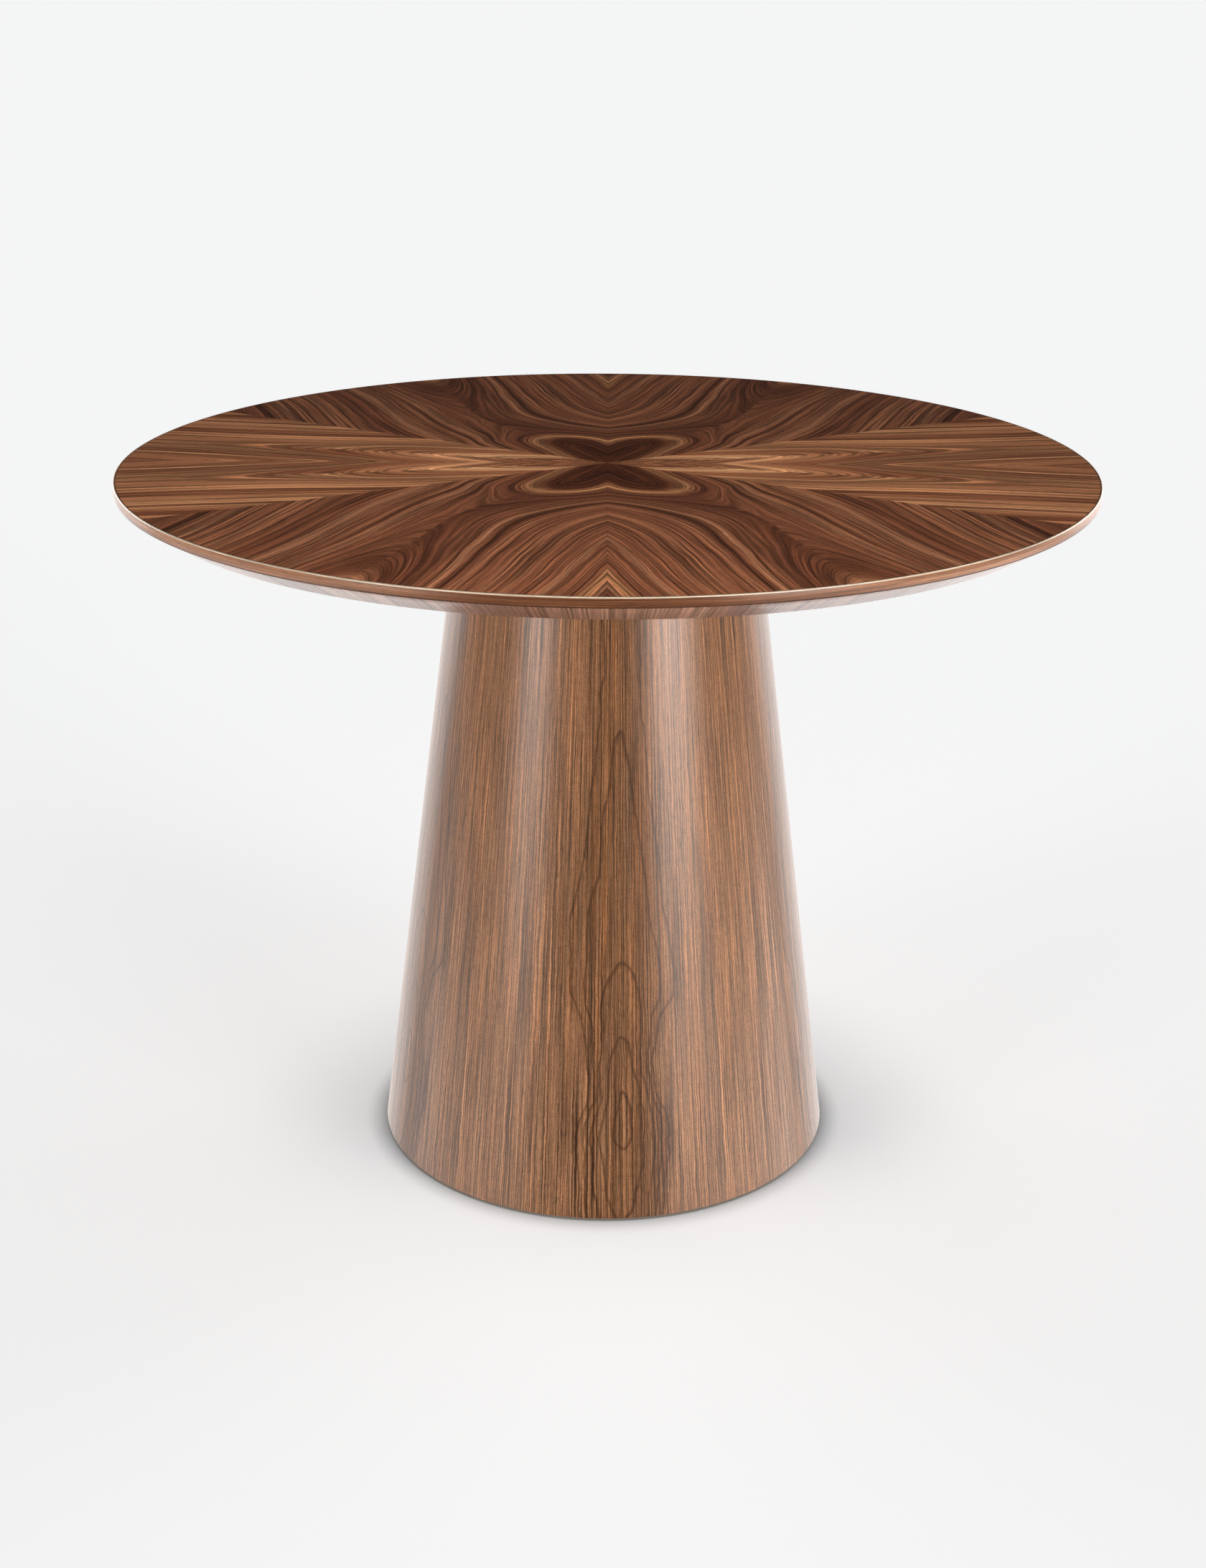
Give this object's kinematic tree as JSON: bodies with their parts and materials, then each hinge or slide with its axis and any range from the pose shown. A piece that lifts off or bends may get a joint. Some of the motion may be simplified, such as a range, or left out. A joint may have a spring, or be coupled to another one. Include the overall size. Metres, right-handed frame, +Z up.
{
  "type": "round pedestal dining table",
  "caption": "Round dining table with a radially matched walnut veneer top, an undercut edge and a hollow cone pedestal on screw-adjusted levelling feet.",
  "frame": {"origin": "on the floor, under the centre of the top", "axes": "+Z up, -Y towards the front seam of the top that faces the viewer, +X to the viewer's right"},
  "size_m": [1.016, 1.016, 0.762],
  "materials": {
    "dark_walnut": "satin lacquered walnut veneer, dark reddish brown",
    "golden_walnut": "satin lacquered walnut veneer, golden brown",
    "solid_walnut": "satin lacquered solid walnut",
    "undercut_walnut": "satin lacquered walnut veneer, greyish brown",
    "pedestal_walnut": "satin lacquered walnut veneer, mid brown",
    "fibreboard": "raw medium density fibreboard",
    "bent_ply": "raw bending plywood",
    "birch_ply": "raw birch plywood",
    "zinc_steel": "zinc plated",
    "brass": "machined",
    "nylon": "moulded, fine texture"
  },
  "bodies": {
    "table": {"top_core": "fibreboard", "top_leaf_back_right": "dark_walnut", "top_leaf_back_left": "dark_walnut", "top_leaf_left_back": "golden_walnut", "top_leaf_left_front": "golden_walnut", "top_leaf_front_left": "dark_walnut", "top_leaf_front_right": "dark_walnut", "top_leaf_right_front": "golden_walnut", "top_leaf_right_back": "golden_walnut", "edge_band": "solid_walnut", "undercut_sheet_1": "undercut_walnut", "undercut_sheet_2": "undercut_walnut", "undercut_sheet_3": "undercut_walnut", "undercut_sheet_4": "undercut_walnut", "undercut_sheet_5": "undercut_walnut", "undercut_sheet_6": "undercut_walnut", "undercut_sheet_7": "undercut_walnut", "undercut_sheet_8": "undercut_walnut", "underside_backer": "undercut_walnut", "pedestal_leaf_1": "pedestal_walnut", "pedestal_leaf_2": "pedestal_walnut", "pedestal_leaf_3": "pedestal_walnut", "pedestal_leaf_4": "pedestal_walnut", "pedestal_leaf_5": "pedestal_walnut", "rib_1": "birch_ply", "rib_2": "birch_ply", "rib_3": "birch_ply", "rib_4": "birch_ply", "shell_panel_1": "bent_ply", "shell_panel_2": "bent_ply", "shell_panel_3": "bent_ply", "shell_panel_4": "bent_ply", "deck": "birch_ply", "middle_ring": "birch_ply", "bottom_ring": "birch_ply", "top_bolt_1": "zinc_steel", "top_washer_1": "zinc_steel", "top_insert_1": "brass", "foot_insert_1": "zinc_steel", "top_bolt_2": "zinc_steel", "top_washer_2": "zinc_steel", "top_insert_2": "brass", "foot_insert_2": "zinc_steel", "top_bolt_3": "zinc_steel", "top_washer_3": "zinc_steel", "top_insert_3": "brass", "foot_insert_3": "zinc_steel", "top_bolt_4": "zinc_steel", "top_washer_4": "zinc_steel", "top_insert_4": "brass", "foot_insert_4": "zinc_steel"},
    "pad_1": {"foot_pad_1": "nylon"},
    "stem_1": {"foot_stem_1": "zinc_steel"},
    "pad_2": {"foot_pad_2": "nylon"},
    "stem_2": {"foot_stem_2": "zinc_steel"},
    "pad_3": {"foot_pad_3": "nylon"},
    "stem_3": {"foot_stem_3": "zinc_steel"},
    "pad_4": {"foot_pad_4": "nylon"},
    "stem_4": {"foot_stem_4": "zinc_steel"}
  },
  "joints": [
    {"name": "foot_1_rise", "type": "slide", "parent": "table", "child": "pad_1", "axis": [0, 0, -1], "range_m": [0, 0.01]},
    {"name": "foot_1_screw", "type": "hinge", "parent": "pad_1", "child": "stem_1", "pos_m": [0.14496, 0.14496, 0.0052], "axis": [0, 0, 1], "range_deg": [0, 2880]},
    {"name": "foot_2_rise", "type": "slide", "parent": "table", "child": "pad_2", "axis": [0, 0, -1], "range_m": [0, 0.01]},
    {"name": "foot_2_screw", "type": "hinge", "parent": "pad_2", "child": "stem_2", "pos_m": [-0.14496, 0.14496, 0.0052], "axis": [0, 0, 1], "range_deg": [0, 2880]},
    {"name": "foot_3_rise", "type": "slide", "parent": "table", "child": "pad_3", "axis": [0, 0, -1], "range_m": [0, 0.01]},
    {"name": "foot_3_screw", "type": "hinge", "parent": "pad_3", "child": "stem_3", "pos_m": [-0.14496, -0.14496, 0.0052], "axis": [0, 0, 1], "range_deg": [0, 2880]},
    {"name": "foot_4_rise", "type": "slide", "parent": "table", "child": "pad_4", "axis": [0, 0, -1], "range_m": [0, 0.01]},
    {"name": "foot_4_screw", "type": "hinge", "parent": "pad_4", "child": "stem_4", "pos_m": [0.14496, -0.14496, 0.0052], "axis": [0, 0, 1], "range_deg": [0, 2880]}
  ],
  "couplings": [
    {"joint": "foot_1_screw", "follows": "foot_1_rise", "rad_per_m": 5026.5},
    {"joint": "foot_2_screw", "follows": "foot_2_rise", "rad_per_m": 5026.5},
    {"joint": "foot_3_screw", "follows": "foot_3_rise", "rad_per_m": 5026.5},
    {"joint": "foot_4_screw", "follows": "foot_4_rise", "rad_per_m": 5026.5}
  ]
}
